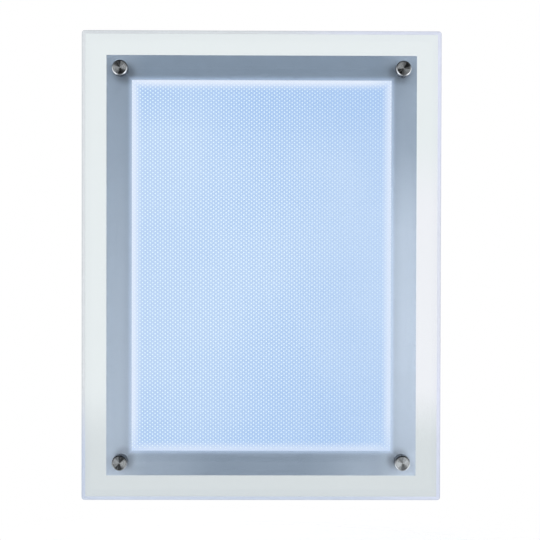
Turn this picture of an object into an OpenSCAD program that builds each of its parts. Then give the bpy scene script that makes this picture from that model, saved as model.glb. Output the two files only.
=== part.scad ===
// Edge-lit acrylic light panel, held off the wall by four turned stand-offs.
//
// Frame: X runs to the right as seen from the front, Z is up and the front faces -Y.
// The origin is on the wall plane, behind the centre of the panel.
// A depth d is a distance from the wall towards the viewer, so y = -d.
// Pieces of a side are drawn on the right-hand side (+X) and turned to the other three.
// Pieces of a corner are drawn at the top right and mirrored to the other three.

/* [Panels] */
// Width of both acrylic panels
panel_w = 284; // [276:1:300]
// Height of both acrylic panels
panel_h = 371; // [364:1:390]
// Corner radius of both acrylic panels
panel_r = 2.5; // [1:0.5:4]
// Thickness of the front panel
front_t = 5; // [4:0.5:8]
// Thickness of the rear panel
rear_t = 3; // [2:0.5:5]
// Width of the polished bevel round the front panel
bevel = 3.5; // [1:0.5:3.5]

/* [Window and border] */
// Width of the lit window
window_w = 205; // [200:1:206]
// Height of the lit window
window_h = 293; // [287:1:294]
// Clear margin between the silver border and the panel's edge
margin = 19.5; // [17:0.5:21]
// Thickness of the silver border film
film_t = 0.2; // [0.1:0.05:0.3]

/* [Stand-offs] */
// Distance between stand-off axes across the panel
post_span_w = 221; // [221:1:226]
// Distance between stand-off axes up the panel
post_span_h = 308; // [308:1:316]
// Diameter of barrels, spacers and caps
post_d = 12; // [11:0.5:13]
// Length of the barrel between wall and rear panel
barrel_l = 20; // [15:1:40]
// Height of the cap
cap_l = 9; // [8.5:0.5:12]
// Diameter of the wall screw's hole
screw_hole_d = 4.2; // [3.5:0.1:5]

/* [Light engine] */
// Thickness of the light guide
guide_t = 4; // [3:0.5:4]
// Distance between neighbouring LEDs
led_pitch = 10; // [9:0.5:10]
// LEDs on each upright board, a multiple of three
leds_upright = 27; // [15:3:27]
// LEDs on each level board, a multiple of three
leds_level = 18; // [9:3:18]
// Socket position across the panel, from its centre
socket_x = -70; // [-80:1:80]

/* [Hidden] */
$fn = 64;
past = 1;                                      // a cut runs this far past the faces it opens

CORNERS = [["tl", -1, 1], ["tr", 1, 1], ["bl", -1, -1], ["br", 1, -1]];
SIDES = [["right", 0], ["top", -90], ["left", 180], ["bottom", 90]];

// Depths of the stack, from the wall to the caps
washer_t = 1;                                  // soft washer behind the rear panel
rear_d = barrel_l + washer_t;                  // back of the rear panel
inner_d = rear_d + rear_t;                     // front of the rear panel
spacer_l = 9;                                  // gap that the light engine fills
film_d = inner_d + spacer_l;                   // back of the silver border
front_d = film_d + film_t;                     // back of the front panel
face_d = front_d + front_t;                    // front of the front panel
cap_washer_t = 0.8;
cap_d = face_d + cap_washer_t;                 // back of the cap

// Stand-offs: an M8 stud runs through barrel, rear panel, spacer, front panel and cap
post_x = post_span_w / 2;
post_z = post_span_h / 2;
post_r = post_d / 2;
stud_r = 4;
thread_gap = 0.05;
thread_r = stud_r + thread_gap;                // M8 thread, drawn as a plain bore
stud_hole_r = 4.3;                             // clearance hole in panels and washers
stud_in_barrel = 10;
stud_in_cap = 7;
barrel_floor = 3;                              // the wall screw's head rests on it
cap_bore = 7.5;

// Aluminium channel round the light guide: offsets outwards from the window's edge
lip_u = 0.4;                                   // inner edge of both lips
guide_u = 2.5;                                 // edge of the light guide
led_u = guide_u + 0.3;                         // light-emitting face of the LEDs
board_u = led_u + 0.8;                         // face of the LED board
web_u = board_u + 1.2;                         // inner face of the channel's web
channel_u = web_u + 1;                         // outer face of the channel's web
lip_t = 0.8;
tape_t = 0.8;
play = 0.1;
channel_d = inner_d + tape_t;                  // back of the channel
channel_front = film_d - 0.2;                  // front of the channel, with room for a sheet of film
cavity = [channel_d + lip_t, channel_front - lip_t];
guide_d = cavity[1] - play - guide_t;          // back of the light guide
reflector_t = 0.4;
reflector_d = guide_d - play - reflector_t;
backing_d = cavity[0] + play;
clip = 5;                                      // clipped corners of reflector and backing

// LED boards and their parts
half_w = window_w / 2;
half_h = window_h / 2;
board_end = 7.5;                               // the board stops this far short of the channel's end
led_size = [0.8, 2.8, 3.5];
led_d = guide_d + guide_t / 2;                 // LEDs look into the middle of the guide's edge
resistor_size = [0.5, 1.2, 2];
resistor_d = cavity[0] + 1.4;

// Corner block: tongues slide into both channels, wires pass behind the tongues
tongue_l = 7;
tongue_d = [cavity[0] + 2.6, cavity[1] - play];
tongue_u = [guide_u + 0.2, web_u - play];
relief_r = post_r + 0.5;                       // clears the spacer
frame_screw_r = 0.8;
frame_screw_d = (tongue_d[0] + tongue_d[1]) / 2;
frame_screw_end = 3.5;                         // from the channel's end
lead_slot = 5.5;

// Wires
wire_r = 0.4;
wire_u = guide_u + 0.6;                        // lane between guide and board
wire_bend = 4;
black_d = cavity[0] + 0.65;
red_d = black_d + 1;
pad_in = 4;                                    // a wire ends this far in from the board's end
solder_r = 0.55;
solder_t = 0.5;

// DC socket, behind the bottom border: 5.5 mm plug with a 2.1 mm pin
socket_z = -(panel_h / 2 - margin - 6.5);
socket_r = 3.9;
socket_bore_r = 2.85;
socket_pin_r = 1.05;
socket_play = 0.2;
socket_flange_t = 1.8;
socket_depth = 9.3;
socket_mouth = rear_d - socket_flange_t;
socket_floor = socket_mouth + socket_depth;
socket_end = socket_floor + 1.5;
tail_l = 1.4;                                  // length of the pin behind the insulator
tail_r = 0.7;
lead_d = socket_end + 1;
lead_bend = 1.5;
lug_w = 2.4;
lug_z = -2.9;
red_x = lead_slot - half_w - 1.6;              // where each lead enters the bottom channel
black_x = red_x - 1.6;

// ---- Helpers ----

// Extrudes a drawing in X and Z from depth d0 to depth d1
module slab(d0, d1) {
    translate([0, -d0, 0]) rotate([90, 0, 0]) linear_extrude(d1 - d0) children();
}

// A cylinder along the depth
module rod(r, d0, d1) {
    translate([0, -d0, 0]) rotate([90, 0, 0]) cylinder(r = r, h = d1 - d0);
}

// A turned piece: its profile is drawn as [radius, depth]
module turned(profile) {
    rotate([90, 0, 0]) rotate_extrude() polygon(profile);
}

// A box given by its ranges along X, depth and Z
module block(x, d, z) {
    translate([x[0], -d[1], z[0]]) cube([x[1] - x[0], d[1] - d[0], z[1] - z[0]]);
}

module rounded(w, h, r) {
    square([w - 2 * r, h], center = true);
    square([w, h - 2 * r], center = true);
    for (sx = [-1, 1], sz = [-1, 1])
        translate([sx * (w / 2 - r), sz * (h / 2 - r)]) circle(r = r);
}

module at_posts() {
    for (c = CORNERS)
        translate([c[1] * post_x, 0, c[2] * post_z]) children();
}

module at_post(c) {
    translate([c[1] * post_x, 0, c[2] * post_z]) children();
}

// Mirrors a top-right piece to corner c
module in_corner(c) {
    mirror([c[1] < 0 ? 1 : 0, 0, 0]) mirror([0, 0, c[2] < 0 ? 1 : 0]) children();
}

module on_side(angle) {
    rotate([0, angle, 0]) children();
}

function is_upright(angle) = angle == 0 || angle == 180;
function side_out(angle) = is_upright(angle) ? half_w : half_h;
function side_half(angle) = is_upright(angle) ? half_h : half_w;
function led_count(angle) = is_upright(angle) ? leds_upright : leds_level;

// A round wire through points joined by lines along the axes, with bends of radius bend
module wire(points, bend) {
    last = len(points) - 1;
    for (i = [0:last - 1]) {
        step = points[i + 1] - points[i];
        u = step / norm(step);
        from = points[i] + (i > 0 ? bend : 0) * u;
        to = points[i + 1] - (i < last - 1 ? bend : 0) * u;
        frame_along(from, u) cylinder(r = wire_r, h = norm(to - from));
    }
    for (i = [1:last - 1]) {
        u = unit(points[i] - points[i - 1]);
        v = unit(points[i + 1] - points[i]);
        w = cross(u, v);
        centre = points[i] + bend * (v - u);
        multmatrix([
            [-v[0], u[0], w[0], centre[0]],
            [-v[1], u[1], w[1], centre[1]],
            [-v[2], u[2], w[2], centre[2]]
        ]) rotate_extrude(angle = 90) translate([bend, 0]) circle(r = wire_r);
    }
}

function unit(v) = v / norm(v);

// Turns +Z to point along the axis u, at point p
module frame_along(p, u) {
    tilt = abs(u[2]) > 0.5 ? (u[2] > 0 ? 0 : 180) : 90;
    turn = atan2(u[1], u[0]);
    translate(p) rotate([0, tilt, turn]) children();
}

// ---- Front cover ----

module front_panel() {
    color([0.86, 0.92, 0.94, 0.4])
    difference() {
        slab(front_d, face_d) rounded(panel_w, panel_h, panel_r);
        at_posts() rod(stud_hole_r, front_d - past, face_d + past);
        for (angle = [0, 180]) on_side(angle) bevel_cut(panel_w / 2, panel_h);
        for (angle = [90, -90]) on_side(angle) bevel_cut(panel_h / 2, panel_w);
    }
}

// Shaves the front edge of the side at distance out at 45 degrees
module bevel_cut(out, length) {
    cut = 3 * bevel;
    translate([out - bevel, -face_d, 0]) rotate([0, 0, -135])
        translate([-cut, 0, -length / 2 - past]) cube([3 * cut, cut, length + 2 * past]);
}

module silver_border() {
    color([0.62, 0.68, 0.75])
    slab(film_d, front_d) difference() {
        square([panel_w - 2 * margin, panel_h - 2 * margin], center = true);
        square([window_w, window_h], center = true);
        for (c = CORNERS) translate([c[1] * post_x, c[2] * post_z]) circle(r = stud_hole_r);
    }
}

// ---- Stand-offs ----

// Cap with a bevelled rim and a shallow dish turned into its face
module cap(c) {
    top = cap_d + cap_l;
    edge = 0.3;
    rim = [0.9, 0.6];
    dish = 0.25;
    color([0.75, 0.74, 0.72])
    at_post(c) difference() {
        turned([
            [0, cap_d], [post_r - edge, cap_d], [post_r, cap_d + edge],
            [post_r, top - rim[1]], [post_r - rim[0], top], [0, top - dish]
        ]);
        rod(thread_r, cap_d - past, cap_d + cap_bore);
    }
}

module washer(r, d0, d1) {
    difference() {
        rod(r, d0, d1);
        rod(stud_hole_r, d0 - past, d1 + past);
    }
}

module cap_washer(c) {
    color([0.9, 0.92, 0.92, 0.6]) at_post(c) washer(post_r - 0.5, face_d, cap_d);
}

module barrel_washers() {
    color([0.9, 0.92, 0.92, 0.6]) at_posts() washer(post_r - 0.2, barrel_l, rear_d);
}

// Set screw with a hexagon socket in its front end
module stud(c) {
    d0 = barrel_l - stud_in_barrel;
    d1 = cap_d + stud_in_cap;
    edge = 0.5;
    hex_r = 2.31;
    hex_depth = 4;
    color([0.7, 0.7, 0.7])
    at_post(c) difference() {
        turned([
            [0, d0], [stud_r - edge, d0], [stud_r, d0 + edge],
            [stud_r, d1 - edge], [stud_r - edge, d1], [0, d1]
        ]);
        translate([0, hex_depth - d1, 0]) rotate([90, 0, 0])
            cylinder(r = hex_r, h = hex_depth + past, $fn = 6);
    }
}

// Threaded spacer that clamps the rear panel and carries the front one
module spacer(c) {
    edge = 0.3;
    color([0.75, 0.74, 0.72])
    at_post(c) difference() {
        turned([
            [0, inner_d], [post_r - edge, inner_d], [post_r, inner_d + edge],
            [post_r, film_d - edge], [post_r - edge, film_d], [0, film_d]
        ]);
        rod(thread_r, inner_d - past, film_d + past);
    }
}

module wall_barrel(c) {
    edge = 0.4;
    countersink = 1.5;
    color([0.75, 0.74, 0.72])
    at_post(c) difference() {
        turned([
            [0, 0], [post_r - edge, 0], [post_r, edge],
            [post_r, barrel_l - edge], [post_r - edge, barrel_l], [0, barrel_l]
        ]);
        rod(screw_hole_d / 2, -past, barrel_floor + past);
        rod(thread_r, barrel_floor, barrel_l + past);
        translate([0, -(barrel_floor - countersink), 0]) rotate([90, 0, 0])
            cylinder(r1 = screw_hole_d / 2, r2 = screw_hole_d / 2 + countersink, h = countersink);
    }
}

// ---- Rear panel ----

module rear_panel() {
    color([0.86, 0.92, 0.94, 0.4])
    difference() {
        slab(rear_d, inner_d) rounded(panel_w, panel_h, panel_r);
        at_posts() rod(stud_hole_r, rear_d - past, inner_d + past);
        at_socket() rod(socket_r + socket_play, rear_d - past, inner_d + past);
    }
}

// ---- Frame of the light engine ----

module channel_profile(out, half) {
    difference() {
        block([out + lip_u, out + channel_u], [channel_d, channel_front], [-half, half]);
        block([out + lip_u - past, out + web_u], cavity, [-half - past, half + past]);
        for (s = [-1, 1])
            translate([out + web_u - past, -frame_screw_d, s * (half - frame_screw_end)])
                rotate([0, 90, 0]) cylinder(r = frame_screw_r + 0.15, h = channel_u - web_u + 2 * past);
    }
}

// The bottom channel is slotted at its left end, where the leads come in
module channel(angle) {
    color([0.8, 0.81, 0.83])
    difference() {
        on_side(angle) channel_profile(side_out(angle), side_half(angle));
        if (angle == 90)
            block(
                [-half_w - past, -half_w + lead_slot],
                [cavity[0], tongue_d[0]],
                [-half_h - channel_u - past, -half_h - web_u + past]
            );
    }
}

module corner_block(c) {
    color([0.93, 0.93, 0.92])
    in_corner(c) difference() {
        union() {
            block([half_w, half_w + channel_u], [channel_d, channel_front], [half_h, half_h + channel_u]);
            tongue(0);
            tongue(1);
        }
        block(
            [half_w - past, half_w + guide_u + play], cavity, [half_h - past, half_h + guide_u + play]
        );
        translate([half_w + wire_u - wire_bend, 0, half_h + wire_u - wire_bend])
            rod(wire_bend + wire_r + 3 * play, cavity[0], tongue_d[0] - play);
        translate([post_x, 0, post_z]) rod(relief_r, channel_d - past, channel_front + past);
    }
}

// A tongue with a pilot hole: 0 goes into the upright channel, 1 into the level one
module tongue(way) {
    root = 0.5;
    pilot_r = frame_screw_r + 0.02;
    difference() {
        if (way == 0)
            block([half_w + tongue_u[0], half_w + tongue_u[1]], tongue_d, [half_h - tongue_l, half_h + root]);
        else
            block([half_w - tongue_l, half_w + root], tongue_d, [half_h + tongue_u[0], half_h + tongue_u[1]]);
        if (way == 0)
            translate([half_w, -frame_screw_d, half_h - frame_screw_end])
                rotate([0, 90, 0]) cylinder(r = pilot_r, h = channel_u);
        else
            translate([half_w - frame_screw_end, -frame_screw_d, half_h])
                cylinder(r = pilot_r, h = channel_u);
    }
}

// Pan-head screws that hold the channels to the corner blocks
module frame_screws() {
    head_r = 1.5;
    head_t = 0.8;
    recess = [1.8, 0.4];
    tip_u = tongue_u[0] + 0.2;
    color([0.7, 0.7, 0.7])
    for (side = SIDES) on_side(side[1]) for (s = [-1, 1])
        translate([side_out(side[1]), -frame_screw_d, s * (side_half(side[1]) - frame_screw_end)])
            rotate([0, 90, 0]) difference() {
                union() {
                    translate([0, 0, tip_u]) cylinder(r = frame_screw_r, h = channel_u - tip_u + head_t / 2);
                    translate([0, 0, channel_u]) cylinder(r = head_r, h = head_t);
                }
                for (turn = [0, 90]) rotate([0, 0, turn])
                    translate([-recess[0] / 2, -recess[1] / 2, channel_u + head_t - recess[1]])
                        cube([recess[0], recess[1], past]);
            }
}

module foam_tape() {
    tape_u = [1.2, 5];
    tape_end = 12;
    color([0.95, 0.95, 0.95])
    for (side = SIDES) on_side(side[1]) {
        out = side_out(side[1]);
        half = side_half(side[1]) - tape_end;
        block([out + tape_u[0], out + tape_u[1]], [inner_d, channel_d], [-half, half]);
    }
}

// ---- Optical stack ----

module light_guide() {
    w = half_w + guide_u;
    h = half_h + guide_u;
    color([0.7, 0.85, 1]) block([-w, w], [guide_d, guide_d + guide_t], [-h, h]);
}

// A sheet in the channels, its corners clipped for the wires
module clipped_sheet(d0, d1) {
    w = half_w + guide_u;
    h = half_h + guide_u;
    slab(d0, d1) polygon([
        [w - clip, h], [w, h - clip], [w, clip - h], [w - clip, -h],
        [clip - w, -h], [-w, clip - h], [-w, h - clip], [clip - w, h]
    ]);
}

module reflector() {
    color([0.97, 0.97, 0.97]) clipped_sheet(reflector_d, reflector_d + reflector_t);
}

module backing_plate() {
    color([0.9, 0.9, 0.9]) clipped_sheet(backing_d, reflector_d - play);
}

// ---- LED boards ----

module led_board(angle) {
    out = side_out(angle);
    half = side_half(angle) - board_end;
    color([0.95, 0.95, 0.93])
    on_side(angle)
        block([out + board_u, out + web_u], [cavity[0] + 2 * play, cavity[1] - 2 * play], [-half, half]);
}

module leds(angle) {
    count = led_count(angle);
    emitter_r = 1.1;
    emitter_depth = 0.25;
    color([0.98, 0.95, 0.7])
    on_side(angle) for (i = [0:count - 1])
        translate([side_out(angle) + led_u, -led_d, (i - (count - 1) / 2) * led_pitch])
            difference() {
                translate([0, -led_size[1] / 2, -led_size[2] / 2]) cube(led_size);
                translate([-past, 0, 0]) rotate([0, 90, 0]) cylinder(r = emitter_r, h = past + emitter_depth);
            }
}

// One resistor for each group of three LEDs
module resistors() {
    color([0.12, 0.12, 0.12])
    for (side = SIDES) on_side(side[1]) {
        groups = led_count(side[1]) / 3;
        for (i = [0:groups - 1])
            translate([
                side_out(side[1]) + board_u - resistor_size[0],
                -resistor_d - resistor_size[1] / 2,
                (i - (groups - 1) / 2) * 3 * led_pitch + led_pitch / 2 - resistor_size[2] / 2
            ]) cube(resistor_size);
    }
}

// ---- Wiring ----

// Wires run from board to board through these corners. The leads come in at the fourth.
JUMPED = [CORNERS[0], CORNERS[1], CORNERS[3]];
upright_pad = half_h - board_end - pad_in;
level_pad = half_w - board_end - pad_in;

module jumper(d) {
    for (c = JUMPED) in_corner(c)
        wire([
            [half_w + wire_u, -d, upright_pad],
            [half_w + wire_u, -d, half_h + wire_u],
            [level_pad, -d, half_h + wire_u]
        ], wire_bend);
}

module jumper_red() { color([0.75, 0.08, 0.08]) jumper(red_d); }
module jumper_black() { color([0.08, 0.08, 0.08]) jumper(black_d); }

// A lead from the socket to the left end of the bottom board
module lead(start, x, d) {
    wire([
        [start[0], -lead_d, start[1]],
        [x, -lead_d, start[1]],
        [x, -d, start[1]],
        [x, -d, -half_h - wire_u],
        [-level_pad, -d, -half_h - wire_u]
    ], lead_bend);
}

module lead_red() {
    color([0.75, 0.08, 0.08]) lead([socket_x - tail_r, socket_z], red_x, red_d);
}

module lead_black() {
    color([0.08, 0.08, 0.08]) lead([socket_x - lug_w / 2, socket_z + lug_z], black_x, black_d);
}

// A bead of solder on the board at the end of each wire
module solder_joints() {
    color([0.75, 0.76, 0.78])
    for (d = [red_d, black_d]) {
        for (c = JUMPED) in_corner(c) solder_pair(d);
        mirror([1, 0, 0]) mirror([0, 0, 1]) level_solder(d);
    }
}

module solder_pair(d) {
    translate([half_w + board_u - solder_t, -d, upright_pad - solder_r]) rotate([0, 90, 0])
        cylinder(r = solder_r - play, h = solder_t);
    level_solder(d);
}

module level_solder(d) {
    translate([level_pad - solder_r, -d, half_h + board_u - solder_t])
        cylinder(r = solder_r - play, h = solder_t);
}

// ---- DC socket ----

module at_socket() {
    translate([socket_x, 0, socket_z]) children();
}

module socket_body() {
    flange_r = 5.5;
    edge = 0.4;
    color([0.78, 0.78, 0.78])
    at_socket() difference() {
        turned([
            [0, socket_mouth], [flange_r - edge, socket_mouth], [flange_r, socket_mouth + edge],
            [flange_r, rear_d], [socket_r, rear_d], [socket_r, socket_end], [0, socket_end]
        ]);
        rod(socket_bore_r, socket_mouth - past, socket_end + past);
    }
}

module socket_insulator() {
    color([0.1, 0.1, 0.1])
    at_socket() difference() {
        rod(socket_bore_r, socket_floor, socket_end);
        rod(tail_r, socket_floor - past, socket_end + past);
    }
}

// The contact pin narrows just before the insulator and passes through it
module socket_pin() {
    tip = 0.4;
    first = socket_mouth + 1.2;
    shoulder = socket_floor - 0.5;
    color([0.8, 0.78, 0.7])
    at_socket() turned([
        [0, first], [socket_pin_r - tip, first], [socket_pin_r, first + tip],
        [socket_pin_r, shoulder], [tail_r, shoulder], [tail_r, socket_end + tail_l], [0, socket_end + tail_l]
    ]);
}

module socket_lug() {
    lug_l = 1.6;
    lug_t = 0.5;
    color([0.8, 0.78, 0.7])
    translate([socket_x, 0, socket_z + lug_z - wire_r])
        block([-lug_w / 2, lug_w / 2], [socket_end, socket_end + lug_l], [-lug_t, 0]);
}

module socket_nut() {
    across_flats = 10;
    nut_t = 2;
    color([0.78, 0.78, 0.78])
    at_socket() difference() {
        translate([0, -inner_d, 0]) rotate([90, 0, 0])
            cylinder(r = across_flats / 2 / cos(30), h = nut_t, $fn = 6);
        rod(socket_r + thread_gap, inner_d - past, inner_d + nut_t + past);
    }
}

// ---- Assembly ----

front_panel();
silver_border();
rear_panel();
for (c = CORNERS) {
    cap(c);
    cap_washer(c);
    stud(c);
    spacer(c);
    wall_barrel(c);
    corner_block(c);
}
barrel_washers();
for (side = SIDES) {
    channel(side[1]);
    led_board(side[1]);
    leds(side[1]);
}
frame_screws();
foam_tape();
light_guide();
reflector();
backing_plate();
resistors();
solder_joints();
jumper_red();
jumper_black();
lead_red();
lead_black();
socket_body();
socket_insulator();
socket_pin();
socket_lug();
socket_nut();
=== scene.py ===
"""Looks of a wall-hung edge-lit acrylic light panel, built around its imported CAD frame.

Sizes are in metres. X runs to the right, Z is up and the lit front faces -Y.
"""

import math

import bpy
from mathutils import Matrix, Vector


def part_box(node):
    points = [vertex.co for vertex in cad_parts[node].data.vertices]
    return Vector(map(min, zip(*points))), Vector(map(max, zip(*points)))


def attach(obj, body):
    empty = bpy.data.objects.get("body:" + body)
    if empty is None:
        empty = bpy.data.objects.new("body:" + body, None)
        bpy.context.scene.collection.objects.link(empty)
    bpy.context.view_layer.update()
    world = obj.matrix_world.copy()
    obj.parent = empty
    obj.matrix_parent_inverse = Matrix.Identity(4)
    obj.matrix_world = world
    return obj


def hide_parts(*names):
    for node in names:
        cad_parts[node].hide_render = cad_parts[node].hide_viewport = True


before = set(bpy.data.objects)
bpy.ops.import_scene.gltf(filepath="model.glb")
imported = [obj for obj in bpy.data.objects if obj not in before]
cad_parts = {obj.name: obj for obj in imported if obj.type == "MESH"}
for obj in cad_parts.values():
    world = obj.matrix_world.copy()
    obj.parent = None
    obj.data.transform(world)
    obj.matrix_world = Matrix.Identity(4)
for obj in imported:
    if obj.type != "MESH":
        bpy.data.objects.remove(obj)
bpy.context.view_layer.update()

MM = 0.001
WHITE = (1.0, 1.0, 1.0)
CORNERS = ("tl", "tr", "bl", "br")
SIDES = ("left", "right", "top", "bottom")


# ---- Shader graph helper ----

class Graph:
    """Builds a node tree. An input may be given a value or another node's output."""

    def __init__(self, tree):
        self.tree = tree
        tree.nodes.clear()

    def add(self, kind, settings=None, inputs=None):
        node = self.tree.nodes.new("ShaderNode" + kind)
        for name, value in (settings or {}).items():
            setattr(node, name, value)
        for name, value in (inputs or {}).items():
            self.put(node.inputs[name], value)
        return node

    def put(self, socket, value):
        if isinstance(value, bpy.types.NodeSocket):
            self.tree.links.new(value, socket)
        elif socket.type == "RGBA" and len(value) == 3:
            socket.default_value = (*value, 1)
        else:
            socket.default_value = value

    # Numbers

    def math(self, operation, a, b=0.0, clamp=False):
        node = self.add("Math", {"operation": operation, "use_clamp": clamp}, {0: a, 1: b})
        return node.outputs[0]

    def chain(self, operation, values):
        """Any number of values, joined from left to right."""
        result = values[0]
        for value in values[1:]:
            result = self.math(operation, result, value)
        return result

    def total(self, *values):
        return self.chain("ADD", values)

    def product(self, *values):
        return self.chain("MULTIPLY", values)

    def largest(self, *values):
        return self.chain("MAXIMUM", values)

    def size(self, value):
        """The value without its sign."""
        return self.math("ABSOLUTE", value)

    def minus(self, a, b):
        return self.math("SUBTRACT", a, b)

    def clamp(self, value):
        """The value held between 0 and 1."""
        return self.math("ADD", value, clamp=True)

    def ramp(self, value, start, end, low=0.0, high=1.0):
        """A smooth step from low at start to high at end."""
        node = self.add(
            "MapRange",
            {"interpolation_type": "SMOOTHSTEP"},
            {"Value": value, "From Min": start, "From Max": end, "To Min": low, "To Max": high},
        )
        return node.outputs["Result"]

    # Vectors

    def vector_math(self, operation, *vectors):
        return self.add("VectorMath", {"operation": operation}, dict(enumerate(vectors)))

    def times(self, vector, scale):
        """A vector or colour, multiplied part by part."""
        return self.vector_math("MULTIPLY", vector, scale).outputs[0]

    def from_point(self, vector, point):
        return self.vector_math("SUBTRACT", vector, point).outputs[0]

    def length(self, vector):
        return self.vector_math("LENGTH", vector).outputs["Value"]

    def split(self, vector):
        """A vector's x, y and z."""
        return self.add("SeparateXYZ", inputs={0: vector}).outputs

    def here(self):
        """Object coordinates, which are the frame's own."""
        return self.add("TexCoord").outputs["Object"]

    def generated(self):
        """Coordinates that run from 0 to 1 across each piece's own box."""
        return self.add("TexCoord").outputs["Generated"]

    def normal(self):
        """The surface normal in object space, as x, y and z."""
        turned = self.add(
            "VectorTransform",
            {"vector_type": "NORMAL", "convert_from": "WORLD", "convert_to": "OBJECT"},
            {0: self.add("NewGeometry").outputs["Normal"]},
        )
        return self.split(turned.outputs[0])

    # Texture and colour

    def noise(self, vector, size, detail=2.0):
        """Noise between 0 and 1 with features of about the given size."""
        node = self.add("TexNoise", inputs={"Vector": vector, "Scale": 1 / size, "Detail": detail})
        return node.outputs["Fac"]

    def mix(self, factor, a, b):
        node = self.add("Mix", {"data_type": "RGBA"})
        self.put(node.inputs[0], factor)
        self.put(node.inputs[6], a)
        self.put(node.inputs[7], b)
        return node.outputs[2]

    def tint(self, colour, factor):
        node = self.add("VectorMath", {"operation": "SCALE"})
        self.put(node.inputs[0], colour)
        self.put(node.inputs[3], factor)
        return node.outputs[0]

    def bump(self, height, distance, strength=1.0):
        inputs = {"Height": height, "Distance": distance, "Strength": strength}
        return self.add("Bump", inputs=inputs).outputs[0]

    # Shaders

    def surface(self, inputs):
        return self.add("BsdfPrincipled", inputs=inputs).outputs[0]

    def transparent(self, colour=WHITE):
        return self.add("BsdfTransparent", inputs={"Color": colour}).outputs[0]

    def mix_shader(self, factor, a, b):
        return self.add("MixShader", inputs={0: factor, 1: a, 2: b}).outputs[0]

    def out(self, shader, kind="OutputMaterial"):
        self.add(kind, inputs={"Surface": shader})


def new_material(name):
    material = bpy.data.materials.new(name)
    material.use_nodes = True
    return material, Graph(material.node_tree)


def srgb(red, green, blue):
    """A colour given as the eye sees it, 0 to 255, as the linear colour that shaders use."""
    return tuple(
        (c / 255 / 12.92) if c <= 10 else ((c / 255 + 0.055) / 1.055) ** 2.4
        for c in (red, green, blue)
    )


def dress(names, material):
    """Gives CAD nodes a material."""
    for name in names:
        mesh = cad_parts[name].data
        mesh.materials.clear()
        mesh.materials.append(material)


def per_corner(prefix):
    return [prefix + "_" + corner for corner in CORNERS]


def per_side(prefix):
    return [prefix + "_" + side for side in SIDES]


# ---- Sizes taken from the frame ----

panel_low, panel_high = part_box("front_panel")
guide_low, guide_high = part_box("light_guide")
cap_low, cap_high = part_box("cap_tr")
LAP = 2.5 * MM                       # the border covers this much of the light guide
HALF_WINDOW = (guide_high.x - LAP, guide_high.z - LAP)
HALF_PANEL = (panel_high.x, panel_high.z)
CAP_RADIUS = (cap_high.x - cap_low.x) / 2


def shares(g, vector, half):
    """Where a point lies across and up a rectangle given by half its sizes: -1 to 1 each way."""
    x, _, z = g.split(vector)
    return g.math("DIVIDE", x, half[0]), g.math("DIVIDE", z, half[1])


def outside(g, vector, half):
    """How far a point lies outside a rectangle given by half its sizes, negative inside."""
    x, _, z = g.split(vector)
    return g.largest(g.minus(g.size(x), half[0]), g.minus(g.size(z), half[1]))


# ---- Acrylic ----

ACRYLIC_IOR = 1.49
CLEAR = (0.965, 0.985, 0.99)
REAR_TINT_AND_SHADE = (0.843, 0.883, 0.893)    # what shows through the rear sheet is a little dimmer, by a slight tint and painted shade
# Painted shade: darker towards the bottom. Painted light: lighter and bluer halfway up the right
# side.
REAR_LOW_SHADE = (0.70, 0.741, 0.757)
REAR_RIGHT_LIGHT = (0.912, 0.914, 0.955)
EDGE_GLOW_SHARE = 0.85                    # how much of the edge's look is frosted, with a painted glow for the light it scatters
EDGE_STRENGTH = 0.88                 # how bright that painted glow is
# Painted glow where light leaks out of the panel's edge: x and z as shares of half the panel, reach,
# strength
GLOW_SPOTS = ((1, 1, 0.16, 0.8), (1, 0, 0.2, 0.6), (1, -0.75, 0.09, 0.6), (-1, -1, 0.12, 0.1))
# Colours of the painted edge glow: high and low on the bevel, and in its brightest spots
EDGE_LIGHT_HIGH = srgb(220, 225, 230)
EDGE_LIGHT_LOW = srgb(192, 205, 228)
EDGE_LIGHT_SPOT = srgb(222, 227, 250)
EDGE_LIGHT_SIDE = srgb(186, 194, 212)     # painted glow on the faces that stand square to the front
ARRIS = 0.9 * MM                     # the painted glow is darker in a line along the outermost edge


def edge_glow(g, vector):
    """How much painted glow the edge gets for light leaking from it, from 0 to 1."""
    parts = []
    for across, up, reach, strength in GLOW_SPOTS:
        offset = g.from_point(vector, (across * HALF_PANEL[0], 0, up * HALF_PANEL[1]))
        distance = g.length(g.times(offset, (1, 0, 1)))
        parts.append(g.ramp(distance, 0.3 * reach, reach, strength, 0.0))
    return g.clamp(g.total(*parts))


def edge_colour(g, vector, low, facing):
    """Painted glow for the light that the edge scatters, from its bevel and from the faces square to
    the front.
    """
    bevel = g.mix(edge_glow(g, vector), g.mix(low, EDGE_LIGHT_HIGH, EDGE_LIGHT_LOW), EDGE_LIGHT_SPOT)
    arris = g.ramp(outside(g, vector, HALF_PANEL), -ARRIS, -0.6 * ARRIS, 1.0, 0.82)
    from_middle = g.size(g.minus(g.split(g.generated())[1], 0.5))
    square = g.tint(EDGE_LIGHT_SIDE, g.ramp(from_middle, 0.28, 0.47, 1.06, 0.8))
    return g.mix(g.ramp(facing, 0.2, 0.5, 1.0, 0.0), g.tint(bevel, arris), square)


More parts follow.
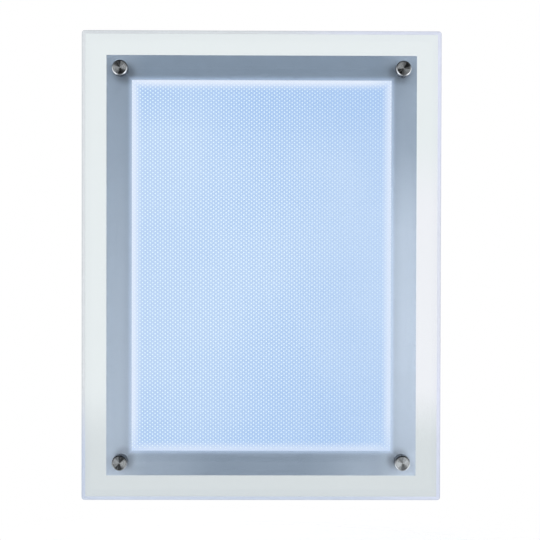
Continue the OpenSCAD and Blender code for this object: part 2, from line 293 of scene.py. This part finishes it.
def acrylic(name, tint, low_shade, right_light):
    """Clear sheet with frosted edges that have a painted glow.

    Its tint drifts to the low tint at the bottom, as painted shade, and to the right tint halfway up
    the right side, as painted light.
    """
    material, g = new_material(name)
    vector = g.here()
    across, up = shares(g, vector, HALF_PANEL)
    # Where the tint turns to painted shade low down, and to painted light halfway up the right side
    low = g.ramp(up, -0.5, -0.82)
    halfway = g.ramp(g.size(g.total(up, 0.15)), 0.75, 0.35)
    right = g.product(halfway, g.ramp(across, 0.5, 0.9))
    smudge = g.noise(vector, 30 * MM, 4)
    clear = g.surface({
        "Base Color": g.mix(low, g.mix(right, tint, right_light), low_shade),
        "Roughness": g.ramp(smudge, 0.5, 0.9, 0.0, 0.03),
        "IOR": ACRYLIC_IOR,
        "Transmission Weight": 1.0,
    })
    facing = g.size(g.normal()[1])
    # The frosted edge, with a painted glow for the light leaking out of it
    streak = g.noise(g.times(vector, (0.3, 3.0, 0.3)), 3 * MM, 3)
    glow = g.tint(edge_colour(g, vector, low, facing), g.ramp(streak, 0.2, 0.8, 0.93, 1.05))
    frosted = g.surface({
        "Base Color": srgb(20, 22, 26),
        "Roughness": g.ramp(streak, 0.2, 0.8, 0.12, 0.28),
        "IOR": ACRYLIC_IOR,
        "Emission Color": glow,
        "Emission Strength": EDGE_STRENGTH,
    })
    body = g.mix_shader(g.ramp(facing, 0.75, 0.98, EDGE_GLOW_SHARE, 0.0), clear, frosted)
    ray = g.add("LightPath").outputs
    passing = g.largest(ray["Is Shadow Ray"], ray["Is Diffuse Ray"])
    g.out(g.mix_shader(passing, body, g.transparent(CLEAR)))
    return material


# ---- Printed border ----

# The ink with no painted sheen, and with the most
INK_DARK = srgb(108, 120, 135)
INK_LIT = srgb(179, 187, 200)
SPILL_REACH = 5 * MM                 # painted glow from the lit window reaches this far out on the border
SPILL_STRENGTH = 0.27
SHADOW_SHIFT = 2 * MM                # a cap's contact shadow leans this far towards the window
SHADOW_REACH = (5 * MM, 11 * MM)     # it fades between these distances from its middle
SHADOW_SHADE = 0.72


def cap_shadow(g, vector):
    """Shade of the soft contact shadow round each cap."""
    middle = (cap_low + cap_high) / 2
    mirrored = g.vector_math("ABSOLUTE", vector).outputs[0]
    offset = g.from_point(mirrored, (middle.x - SHADOW_SHIFT, 0, middle.z - SHADOW_SHIFT))
    distance = g.length(g.times(offset, (1, 0, 1)))
    return g.ramp(distance, *SHADOW_REACH, SHADOW_SHADE, 1.0)


def silver_print():
    """Silver-grey ink with a painted sheen, lighter down both sides and lightest at the lower right,
    with a painted glow from the window.
    """
    material, g = new_material("silver_print")
    vector = g.here()
    across, up = shares(g, vector, HALF_PANEL)
    beside = g.size(across)
    flank = g.ramp(beside, 0.62, 0.8)
    right = g.ramp(across, -0.14, 0.14)
    low = g.ramp(up, 0.0, -1.0)
    corner = g.product(g.ramp(beside, 0.21, 0.63), g.ramp(up, -0.755, -0.835))
    glare = g.product(g.ramp(up, 0.6, 0.13), g.ramp(up, -0.3, -0.85, 1.0, 0.2))
    cloud = g.noise(vector, 70 * MM, 2)
    # Painted sheen down the flanks, low down and to the right, with a painted glare; the cloud is the
    # ink's own uneven tone
    sheen_and_mottle = g.total(
        g.product(low, 0.17),
        g.product(low, corner, 0.25),
        g.product(flank, 0.18),
        g.product(flank, right, 0.04),
        g.product(flank, g.ramp(up, 0.7, -0.25), 0.3),
        g.product(flank, glare, right, 0.28),
        g.product(g.minus(cloud, 0.5), 0.08),
    )
    flake = g.noise(vector, 0.35 * MM, 1)
    shade = g.product(cap_shadow(g, vector), g.ramp(flake, 0.3, 0.7, 0.93, 1.05))
    # Painted glow on the border's front, next to the lit window
    beyond = outside(g, vector, HALF_WINDOW)
    spill = g.math("POWER", g.ramp(beyond, 0.0, SPILL_REACH, 1.0, 0.0), 2.0)
    front = g.ramp(g.normal()[1], -0.5, -0.4, 1.0, 0.0)
    g.out(g.surface({
        "Base Color": g.tint(g.mix(g.clamp(sheen_and_mottle), INK_DARK, INK_LIT), shade),
        "Metallic": 0.35,
        "Roughness": g.ramp(flake, 0.2, 0.8, 0.38, 0.5),
        "Normal": g.bump(flake, 0.01 * MM),
        "Emission Color": srgb(196, 218, 255),
        "Emission Strength": g.product(spill, front, SPILL_STRENGTH),
    }))
    return material


# ---- Lit sheet ----

GUIDE_BLUE = srgb(161, 193, 236)
GUIDE_PALE = srgb(181, 206, 240)
GUIDE_EDGE = srgb(226, 234, 250)
DOT_LIGHT = srgb(228, 246, 255)
WHITE_BAND = (0.5 * MM, 9 * MM)      # the window's white edge fades between these distances inwards


def window_light(g, vector, blue, pale):
    """Light between two colours in soft patches, turning white along the window's edges."""
    across, up = shares(g, vector, HALF_WINDOW)
    patch = g.noise(vector, 75 * MM, 1.5)
    paleness = g.total(
        g.ramp(patch, 0.3, 0.7, 0.3, 0.75),
        g.ramp(across, 0.7, -1.0, 0.0, 0.6),
        g.ramp(across, 0.0, 1.0, 0.0, 0.3),
        g.ramp(up, 0.55, 1.0, 0.0, -0.8),
        g.ramp(up, -0.4, -1.0, 0.0, -0.5),
    )
    inside = g.product(outside(g, vector, HALF_WINDOW), -1.0)
    band = g.product(
        g.math("POWER", g.ramp(inside, *WHITE_BAND, 1.0, 0.0), 1.3),
        g.ramp(up, -0.8, -1.0, 1.0, 0.62),
        g.ramp(across, 0.8, 1.0, 1.0, 0.75),
        g.ramp(across, -0.8, -1.0, 1.0, 0.85),
    )
    return g.mix(band, g.mix(g.clamp(paleness), blue, pale), GUIDE_EDGE)


def lit_guide():
    material, g = new_material("lit_guide")
    vector = g.here()
    g.out(g.surface({
        "Base Color": srgb(30, 34, 40),
        "Roughness": g.ramp(g.noise(vector, 20 * MM, 3), 0.3, 0.7, 0.12, 0.2),
        "Emission Color": window_light(g, vector, GUIDE_BLUE, GUIDE_PALE),
        "Emission Strength": 1.0,
    }))
    return material


def lit_dot():
    """Brighter than the sheet round it, and fainter towards the right."""
    material, g = new_material("lit_dot")
    vector = g.here()
    across = shares(g, vector, HALF_WINDOW)[0]
    colour = g.mix(g.ramp(across, -0.1, 0.9, 0.0, 0.5), DOT_LIGHT, GUIDE_PALE)
    g.out(g.surface({
        "Base Color": srgb(34, 36, 40),
        "Roughness": g.ramp(g.noise(vector, 0.5 * MM, 2), 0.3, 0.7, 0.4, 0.6),
        "Emission Color": window_light(g, vector, colour, colour),
        "Emission Strength": 1.0,
    }))
    return material


# ---- Metals ----

STEEL_DARK = srgb(172, 176, 179)
STEEL_LIGHT = srgb(217, 221, 224)
STEEL_WIDTH = 12 * MM                # of every turned piece, which scales its grooves


def face_shade(g, vector, offset, tilt, dark, bright, rim_shade):
    """Painted light and shade of a turned cap: a painted reflection of two bright sectors on its
    face, a painted highlight on the lower rim and painted shade on its sides.
    """
    x, _, z = g.split(offset)
    # Painted reflection: two bright sectors on the face, broken up by streaks and patches
    turned = g.minus(g.math("ARCTAN2", z, x), math.radians(tilt))
    wave = g.math("COSINE", g.product(turned, 2.0))
    around = g.vector_math("NORMALIZE", offset).outputs[0]
    streak = g.minus(g.noise(around, 0.45, 3), 0.5)
    patch = g.minus(g.noise(vector, 4 * MM, 1), 0.5)
    sector = g.total(wave, g.product(streak, 3.5), g.product(patch, 1.5))
    face = g.tint(WHITE, g.ramp(sector, -1.2, 0.9, dark, bright))

    # Painted highlight on the lower rim, strongest to the left and right, and painted shade on the
    # upper rim
    _, slope, rise = g.normal()
    beside = g.size(g.split(around)[0])
    rim = g.product(g.ramp(rise, -0.2, 0.35, rim_shade, 0.2), g.ramp(beside, 0.15, 0.75, 0.4, 1.0))
    shade = g.mix(g.ramp(slope, -0.97, -0.9), face, g.tint(WHITE, rim))

    # Painted shade: the side turns dark where it is seen at a grazing angle
    seen = g.add("NewGeometry").outputs
    facing = g.vector_math("DOT_PRODUCT", seen["Normal"], seen["Incoming"]).outputs["Value"]
    grazing = g.ramp(g.size(facing), 0.12, 0.5, 1.0, 0.0)
    side = g.product(g.ramp(slope, -0.35, -0.15), grazing)
    return g.mix(side, shade, (0.3, 0.3, 0.32))


def turned_steel(name, face=None):
    """Lathe-turned steel with fine grooves round each piece's own axis.

    A face gives a cap's turned face its painted reflections: the direction of its bright sectors in
    degrees, the painted shade between them, the shade in them, and the painted highlight on the rim's
    lower half.
    """
    material, g = new_material(name)
    vector = g.here()
    middle = g.from_point(g.generated(), (0.5, 0.5, 0.5))
    offset = g.times(middle, (STEEL_WIDTH, 0, STEEL_WIDTH))
    rings = g.add("CombineXYZ", inputs={"X": g.length(offset), "Y": g.split(vector)[1]}).outputs[0]
    groove = g.noise(rings, 0.12 * MM, 3)
    wear = g.noise(vector, 3 * MM, 3)
    colour = g.mix(groove, STEEL_DARK, STEEL_LIGHT)
    if face:
        colour = g.times(colour, face_shade(g, vector, offset, *face))
    g.out(g.surface({
        "Base Color": colour,
        "Metallic": 1.0,
        "Roughness": g.total(0.18, g.product(groove, 0.12), g.product(wear, 0.08)),
        "Anisotropic": 0.8,
        "Anisotropic Rotation": 0.25,
        "Tangent": g.add("Tangent", {"direction_type": "RADIAL", "axis": "Y"}).outputs[0],
        "Normal": g.bump(groove, 0.006 * MM),
    }))
    return material


def metal(name, dark, light, stain_size, roughness, grain, bump):
    """Plated metal with a stained sheen.

    roughness is its lowest and highest value, and grain is the size and detail of its fine bumps.
    """
    material, g = new_material(name)
    vector = g.here()
    stain = g.noise(vector, stain_size, 4)
    g.out(g.surface({
        "Base Color": g.mix(stain, dark, light),
        "Metallic": 1.0,
        "Roughness": g.ramp(stain, 0.3, 0.7, *roughness),
        "Normal": g.bump(g.noise(vector, *grain), bump),
    }))
    return material


def anodised(name, along):
    """Satin aluminium with drawing lines along one axis, 0 for X and 2 for Z."""
    material, g = new_material(name)
    scale = [1.0, 1.0, 1.0]
    scale[along] = 0.01
    line = g.noise(g.times(g.here(), scale), 0.15 * MM, 3)
    g.out(g.surface({
        "Base Color": g.mix(line, srgb(190, 193, 198), srgb(220, 222, 226)),
        "Metallic": 1.0,
        "Roughness": g.ramp(line, 0.3, 0.7, 0.3, 0.42),
        "Normal": g.bump(line, 0.01 * MM),
    }))
    return material


# ---- Plastics and other small materials ----

def plastic(name, dark, light, grain, roughness, bump, coat=0.0):
    """Plastic whose colour and gloss vary a little, with a grain of the given size."""
    material, g = new_material(name)
    vector = g.here()
    texture = g.noise(vector, grain, 3)
    broad = g.noise(vector, 25 * grain, 2)
    g.out(g.surface({
        "Base Color": g.mix(g.product(g.total(texture, broad), 0.5), dark, light),
        "Roughness": g.ramp(texture, 0.3, 0.7, roughness - 0.06, roughness + 0.06),
        "Coat Weight": coat,
        "Normal": g.bump(texture, bump),
    }))
    return material


def soft_washer():
    material, g = new_material("soft_washer")
    haze = g.noise(g.here(), 0.6 * MM, 2)
    g.out(g.surface({
        "Base Color": g.mix(haze, srgb(206, 211, 214), srgb(232, 235, 236)),
        "Roughness": g.ramp(haze, 0.3, 0.7, 0.35, 0.5),
        "Transmission Weight": 0.35,
        "Normal": g.bump(haze, 0.02 * MM),
    }))
    return material


def foam():
    """Closed-cell foam: small cells with darker walls."""
    material, g = new_material("foam_tape")
    cells = g.add("TexVoronoi", inputs={"Vector": g.here(), "Scale": 1 / (0.3 * MM)})
    depth = cells.outputs["Distance"]
    g.out(g.surface({
        "Base Color": g.mix(g.ramp(depth, 0.2, 0.7), srgb(238, 238, 234), srgb(205, 206, 204)),
        "Roughness": 0.85,
        "Normal": g.bump(depth, 0.03 * MM, 0.6),
    }))
    return material


TRACK_PLACE = 2.3 * MM               # each copper track's middle, from the middle of its board
TRACK_EDGE = (0.25 * MM, 0.32 * MM)  # where its edge starts and ends, from its own middle


def led_board():
    """White solder mask with two copper tracks showing through it as raised lines."""
    material, g = new_material("led_board")
    vector = g.here()
    low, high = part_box("led_board_top")
    from_middle = g.size(g.minus(g.split(vector)[1], (low.y + high.y) / 2))
    copper = g.ramp(g.size(g.minus(from_middle, TRACK_PLACE)), *TRACK_EDGE, 1.0, 0.0)
    grain = g.noise(vector, 0.4 * MM, 2)
    g.out(g.surface({
        "Base Color": g.mix(copper, srgb(240, 240, 234), srgb(222, 222, 206)),
        "Roughness": g.ramp(grain, 0.3, 0.7, 0.25, 0.4),
        "Normal": g.bump(g.total(copper, g.product(grain, 0.2)), 0.03 * MM),
    }))
    return material


def led_package():
    material, g = new_material("led_package")
    grain = g.noise(g.here(), 0.5 * MM, 2)
    g.out(g.surface({
        "Base Color": g.mix(grain, srgb(250, 232, 150), srgb(255, 246, 205)),
        "Roughness": 0.3,
        "Emission Color": srgb(226, 236, 255),
        "Emission Strength": g.ramp(grain, 0.2, 0.8, 0.9, 1.3),
    }))
    return material


# ---- Mesh pieces ----

def mesh_piece(name, vertices, faces, material, body, smooth=False):
    mesh = bpy.data.meshes.new(name)
    mesh.from_pydata(vertices, [], faces)
    mesh.materials.append(material)
    if smooth:
        mesh.shade_smooth()
    mesh.update()
    piece = bpy.data.objects.new(name, mesh)
    bpy.context.scene.collection.objects.link(piece)
    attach(piece, body)
    return piece


def lathe(profile, centre, segments, radius_at=None):
    """Turns (radius, y) points round the Y axis through centre. The first and last lie on the axis.

    radius_at(row, radius, y, angle) may shape each row, which counts from 0 after the first point.
    """
    vertices = [(centre.x, profile[0][1], centre.z)]
    for row, (radius, y) in enumerate(profile[1:-1]):
        for k in range(segments):
            angle = 2 * math.pi * k / segments
            reach = radius_at(row, radius, y, angle) if radius_at else radius
            across, up = reach * math.cos(angle), reach * math.sin(angle)
            vertices.append((centre.x + across, y, centre.z + up))
    vertices.append((centre.x, profile[-1][1], centre.z))
    rings = len(profile) - 2
    last = len(vertices) - 1
    faces = []
    for k in range(segments):
        after = (k + 1) % segments
        faces.append((0, 1 + k, 1 + after))
        for ring in range(rings - 1):
            a = 1 + ring * segments
            b = a + segments
            faces.append((a + k, b + k, b + after, a + after))
        a = 1 + (rings - 1) * segments
        faces.append((a + k, last, a + after))
    return vertices, faces


# Each cap's painted reflection and rim highlight, as turned_steel takes it
CAP_FACES = {
    "tl": (25, 0.12, 1.1, 1.3),
    "tr": (-48, 0.06, 1.0, 1.3),
    "bl": (-12, 0.1, 1.05, 0.6),
    "br": (20, 0.5, 1.6, 1.1),
}
CAP_SEGMENTS = 96
GROOVE_PITCH = 0.3 * MM
GROOVE_DEPTH = 0.02 * MM
FACE_DISH = 0.25 * MM                # the face is this much deeper in its middle
FACE_INSET = 1.0 * MM                # from the cap's side to the edge of its dished face
FACE_PIP = 0.35 * MM                 # radius of the tool mark in the middle
RIM_GROOVE = 0.1 * MM                # depth of the groove round the face
BORE_RADIUS = 4.05 * MM
BORE_DEPTH = 7.5 * MM
BORE_CHAMFER = 0.4 * MM


def cap_face(front, radius):
    """Points of a dished face with fine turning grooves, from its middle to the groove round it."""
    points = [
        (0, front + FACE_DISH - 0.06 * MM),
        (0.6 * FACE_PIP, front + FACE_DISH - 0.05 * MM),
        (FACE_PIP, front + FACE_DISH),
    ]
    steps = int((radius - FACE_PIP) / (GROOVE_PITCH / 2))
    for step in range(1, steps):
        r = FACE_PIP + (radius - FACE_PIP) * step / steps
        sunk = FACE_DISH * (1 - r / radius) + (GROOVE_DEPTH if step % 2 else 0)
        points.append((r, front + sunk))
    return points + [
        (radius, front + 0.02 * MM),
        (radius + 0.06 * MM, front + RIM_GROOVE),
        (radius + 0.12 * MM, front + 0.02 * MM),
    ]


def cap_profile():
    """Cap from the middle of its front face, over the rim and down the side, into its bore."""
    radius = CAP_RADIUS
    front, back = cap_low.y, cap_high.y
    return cap_face(front, radius - FACE_INSET) + [
        (radius - 0.78 * MM, front),
        (radius - 0.22 * MM, front + 0.34 * MM),
        (radius - 0.05 * MM, front + 0.55 * MM),
        (radius, front + 0.8 * MM),
        (radius, back - 0.35 * MM),
        (radius - 0.08 * MM, back - 0.1 * MM),
        (radius - 0.3 * MM, back),
        (BORE_RADIUS + BORE_CHAMFER, back),
        (BORE_RADIUS, back - BORE_CHAMFER),
        (BORE_RADIUS, back - BORE_DEPTH),
        (0, back - BORE_DEPTH),
    ]


def add_caps():
    for corner, face in CAP_FACES.items():
        material = turned_steel("turned_face_" + corner, face)
        node = "cap_" + corner
        low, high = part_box(node)
        vertices, faces = lathe(cap_profile(), (low + high) / 2, CAP_SEGMENTS)
        cap = mesh_piece("turned_cap_" + corner, vertices, faces, material, node)
        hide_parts(node)


THREAD_PITCH = 1.25 * MM
THREAD_DEPTH = 0.7 * MM
THREAD_FLANK = 2.6                   # how steeply the thread rises to its crest
ROWS_PER_TURN = 6
STUD_SEGMENTS = 36
STUD_CHAMFER = 0.9 * MM
HEX_APOTHEM = 2.0 * MM
HEX_DEPTH = 4.0 * MM
HEX_ROWS = 2


def stud_shape(low, high):
    """A stud's radius at any row and angle: the hexagon socket first, then the helical thread."""
    def radius_at(row, nominal, y, angle):
        if row < HEX_ROWS:
            wedge = (angle + math.pi / 6) % (math.pi / 3) - math.pi / 6
            return HEX_APOTHEM / math.cos(wedge)
        phase = ((y - low.y) / THREAD_PITCH + angle / (2 * math.pi)) % 1
        crest = min(1, THREAD_FLANK * abs(phase - 0.5))
        end = min(y - low.y, high.y - y)
        chamfer = max(0, STUD_CHAMFER - end)
        return min(nominal - THREAD_DEPTH * (1 - crest), nominal - chamfer)
    return radius_at


def add_studs(material):
    """Studs with a real helical thread, lead-in chamfers and a hexagon socket in the front end."""
    for corner in CORNERS:
        node = "stud_" + corner
        low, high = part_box(node)
        radius = (high.x - low.x) / 2
        rows = round((high.y - low.y) / THREAD_PITCH * ROWS_PER_TURN)
        step = (high.y - low.y) / rows
        socket = [(0, low.y + HEX_DEPTH), (HEX_APOTHEM, low.y + HEX_DEPTH), (HEX_APOTHEM, low.y)]
        thread = [(radius, low.y + step * row) for row in range(rows + 1)]
        profile = socket + thread + [(0, high.y)]
        vertices, faces = lathe(profile, (low + high) / 2, STUD_SEGMENTS, stud_shape(low, high))
        name = "threaded_stud_" + corner
        stud = mesh_piece(name, vertices, faces, material, "wall_frame")
        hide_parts(node)


DOT_SPACING = (2 * MM, 3 * MM)       # between columns, and between the dots of a column
DOT_MARGIN = 0.2 * MM                # at the least, from the last column to the window's edge
DOT_RADIUS = (0.55 * MM, 0.65 * MM)  # at the window's edge, and in its middle
DOT_GROWTH = 1.6                     # how fast a dot's radius grows from the edge to the middle
DOT_HEIGHT = 0.1 * MM
DOT_SIDES = 8
DOT_RINGS = ((1, 0), (0.72, 0.7))    # shares of a dot's radius and height


def dome(x, z, radius, first):
    """One dot on the light guide's face, with its vertices numbered from first."""
    face_y = guide_low.y
    vertices = []
    for share, height in DOT_RINGS:
        for k in range(DOT_SIDES):
            angle = 2 * math.pi * k / DOT_SIDES
            vertices.append((
                x + share * radius * math.cos(angle),
                face_y - height * DOT_HEIGHT,
                z + share * radius * math.sin(angle),
            ))
    vertices.append((x, face_y - DOT_HEIGHT, z))
    top = first + 2 * DOT_SIDES
    faces = [tuple(first + k for k in reversed(range(DOT_SIDES)))]
    for k in range(DOT_SIDES):
        low, low_after = first + k, first + (k + 1) % DOT_SIDES
        high, high_after = low + DOT_SIDES, low_after + DOT_SIDES
        faces.append((low, low_after, high_after, high))
        faces.append((high, high_after, top))
    return vertices, faces


def dot_mesh(wanted):
    """Low domes on a staggered lattice over the window, wherever wanted(z) is true."""
    columns = int((HALF_WINDOW[0] - DOT_MARGIN) / DOT_SPACING[0])
    rows = int(HALF_WINDOW[1] / DOT_SPACING[1])
    vertices, faces = [], []
    for column in range(-columns, columns + 1):
        x = column * DOT_SPACING[0]
        shift = DOT_SPACING[1] / 2 if column % 2 else 0
        for row in range(-rows, rows + 1):
            z = row * DOT_SPACING[1] + shift
            if abs(z) > HALF_WINDOW[1] or not wanted(z):
                continue
            from_edge = 1 - max(abs(x) / HALF_WINDOW[0], abs(z) / HALF_WINDOW[1])
            growth = min(1, DOT_GROWTH * from_edge)
            radius = DOT_RADIUS[0] + (DOT_RADIUS[1] - DOT_RADIUS[0]) * growth
            more_vertices, more_faces = dome(x, z, radius, len(vertices))
            vertices += more_vertices
            faces += more_faces
    return vertices, faces


def add_dots(material):
    halves = {"guide_dots_upper": lambda z: z >= 0, "guide_dots_lower": lambda z: z < 0}
    for name, wanted in halves.items():
        vertices, faces = dot_mesh(wanted)
        mesh_piece(name, vertices, faces, material, "wall_frame", smooth=True)


# ---- Studio ----

AIR_LIGHT = (0.86, 0.87, 0.89)       # what matt things get from the surroundings


def glossy_sky(g):
    """What shiny things reflect: a dark ceiling, bright sides and a pale floor."""
    direction = g.add("TexCoord").outputs["Generated"]
    x, y, z = g.split(direction)
    aside = g.size(x)
    sides = g.ramp(aside, 0.15, 0.7, 0.0, 0.65)
    ceiling = g.ramp(z, 0.1, 0.6, 1.0, g.ramp(y, -0.3, 0.2, 0.08, 0.9))
    ground = g.ramp(z, -0.4, -0.1, 0.3, 1.0)
    floor = g.product(g.ramp(z, -0.2, -0.6), g.ramp(aside, 0.1, 0.6, 0.1, 1.4))
    wall = g.total(sides, g.product(ground, 0.3))
    return g.total(g.product(wall, ceiling), floor)


def add_world():
    """Pure white to look at and through, with a softer light on the object."""
    world = bpy.data.worlds.new("studio")
    bpy.context.scene.world = world
    world.use_nodes = True
    g = Graph(world.node_tree)
    ray = g.add("LightPath").outputs
    seen = g.largest(ray["Is Camera Ray"], ray["Is Transmission Ray"])
    shine = g.mix(ray["Is Glossy Ray"], AIR_LIGHT, g.tint(WHITE, glossy_sky(g)))
    background = g.add("Background", inputs={"Color": g.mix(seen, shine, WHITE), "Strength": 1.0})
    g.out(background.outputs[0], "OutputWorld")


# Each lamp's place, width and height, and power. All of them face the middle of the wall plane.
SOFTBOXES = {
    "softbox_left": ((-0.6, -0.95, 0.35), (0.8, 0.9), 9),
    "softbox_right": ((0.65, -0.9, 0.1), (0.8, 0.9), 11),
    "softbox_top": ((0.1, -0.6, 1.1), (0.9, 0.6), 7),
    "softbox_back": ((-0.5, 0.9, 0.6), (0.6, 0.8), 5),
}


def add_softboxes():
    """Soft lamps that can't be seen, mirrored or looked at through the acrylic."""
    for name, (place, size, power) in SOFTBOXES.items():
        light = bpy.data.lights.new(name, "AREA")
        light.shape = "RECTANGLE"
        light.size, light.size_y = size
        light.energy = power
        lamp = bpy.data.objects.new(name, light)
        lamp.location = place
        lamp.rotation_euler = (-Vector(place)).to_track_quat("-Z", "Y").to_euler()
        lamp.visible_camera = False
        lamp.visible_glossy = False
        lamp.visible_transmission = False
        bpy.context.scene.collection.objects.link(lamp)


FLOOR_DROP = 0.12                    # the floor lies this far below the hung panel
FLOOR_SOLID = 0.2                    # radius inside which the floor is solid
FLOOR_FADED = 0.5                    # radius at which it ends
FLOOR_SIDES = 96


def add_floor():
    """A pale floor that fades into the white surroundings."""
    bpy.ops.mesh.primitive_circle_add(
        vertices=FLOOR_SIDES, radius=FLOOR_FADED, fill_type="NGON",
        location=(0, 0, panel_low.z - FLOOR_DROP),
    )
    floor = bpy.context.object
    floor.name = "floor"
    material, g = new_material("floor")
    solid = g.surface({"Base Color": srgb(222, 223, 225), "Roughness": 0.7})
    fade = g.ramp(g.length(g.here()), FLOOR_SOLID, 0.98 * FLOOR_FADED)
    g.out(g.mix_shader(fade, solid, g.transparent()))
    floor.data.materials.append(material)


# The camera is almost square in front, a little above the middle. It looks slightly down and right.
CAMERA_PLACE = (0.5 * MM, -900 * MM, 5.4 * MM)
CAMERA_PITCH = -0.575
CAMERA_ROLL = -0.13
CAMERA_YAW = -0.413
CAMERA_LENS = 72.96
CAMERA_SENSOR = 36


def add_camera():
    data = bpy.data.cameras.new("camera")
    data.lens = CAMERA_LENS
    data.sensor_width = CAMERA_SENSOR
    camera = bpy.data.objects.new("camera", data)
    camera.location = CAMERA_PLACE
    angles = (90 + CAMERA_PITCH, CAMERA_ROLL, CAMERA_YAW)
    camera.rotation_euler = [math.radians(angle) for angle in angles]
    bpy.context.scene.collection.objects.link(camera)
    bpy.context.scene.camera = camera


# ---- Assembly ----

dress(["front_panel"], acrylic("front_acrylic", CLEAR, CLEAR, CLEAR))
dress(["rear_panel"], acrylic("rear_acrylic", REAR_TINT_AND_SHADE, REAR_LOW_SHADE, REAR_RIGHT_LIGHT))
dress(["silver_border"], silver_print())
dress(["light_guide"], lit_guide())

standoffs = per_corner("cap") + per_corner("spacer") + per_corner("wall_barrel")
dress(standoffs, turned_steel("turned_steel"))
add_caps()
plated = metal(
    "plated_steel", srgb(150, 152, 158), srgb(206, 207, 205),
    1.5 * MM, (0.22, 0.38), (0.3 * MM, 3), 0.01 * MM,
)
dress(per_corner("stud") + ["frame_screws"], plated)
add_studs(plated)
nickel = metal(
    "nickel", srgb(190, 184, 172), srgb(226, 221, 212),
    0.8 * MM, (0.12, 0.24), (0.25 * MM, 2), 0.006 * MM,
)
dress(["socket_body", "socket_pin", "socket_lug", "socket_nut"], nickel)
dress(["channel_left", "channel_right"], anodised("anodised_upright", 2))
dress(["channel_top", "channel_bottom"], anodised("anodised_level", 0))

dress(per_corner("cap_washer") + ["barrel_washers"], soft_washer())
dress(["foam_tape"], foam())
dress(per_side("led_board"), led_board())
dress(per_side("leds"), led_package())

BLOCKS = per_corner("corner_block")

# Plain plastics: nodes, name, darker and lighter colour, grain, roughness, height of the bump, coat
PLASTICS = (
    (["solder_joints"], "solder", (170, 172, 176), (214, 216, 220), 0.3, 0.2, 0.01, 0.5),
    (BLOCKS, "white_moulding", (226, 226, 222), (240, 240, 237), 0.3, 0.5, 0.02, 0),
    (["reflector"], "reflector_film", (244, 245, 246), (252, 252, 252), 0.2, 0.3, 0.004, 0),
    (["backing_plate"], "backing_sheet", (208, 210, 210), (226, 227, 226), 0.8, 0.55, 0.01, 0),
    (["resistors"], "resistor", (20, 20, 22), (44, 44, 46), 0.2, 0.4, 0.01, 0),
    (["jumper_red", "lead_red"], "red_wire", (170, 22, 20), (205, 34, 30), 0.4, 0.3, 0.01, 0.3),
    (["jumper_black", "lead_black"], "black_wire", (22, 22, 24), (40, 40, 42), 0.4, 0.3, 0.01, 0.3),
    (["socket_insulator"], "black_insulator", (22, 22, 24), (38, 38, 40), 0.3, 0.45, 0.01, 0),
)
for nodes, name, dark, light, grain, roughness, bump, coat in PLASTICS:
    dress(nodes, plastic(name, srgb(*dark), srgb(*light), grain * MM, roughness, bump * MM, coat))

add_dots(lit_dot())

add_world()
add_softboxes()
add_floor()
add_camera()
bpy.context.scene.view_settings.view_transform = "Standard"
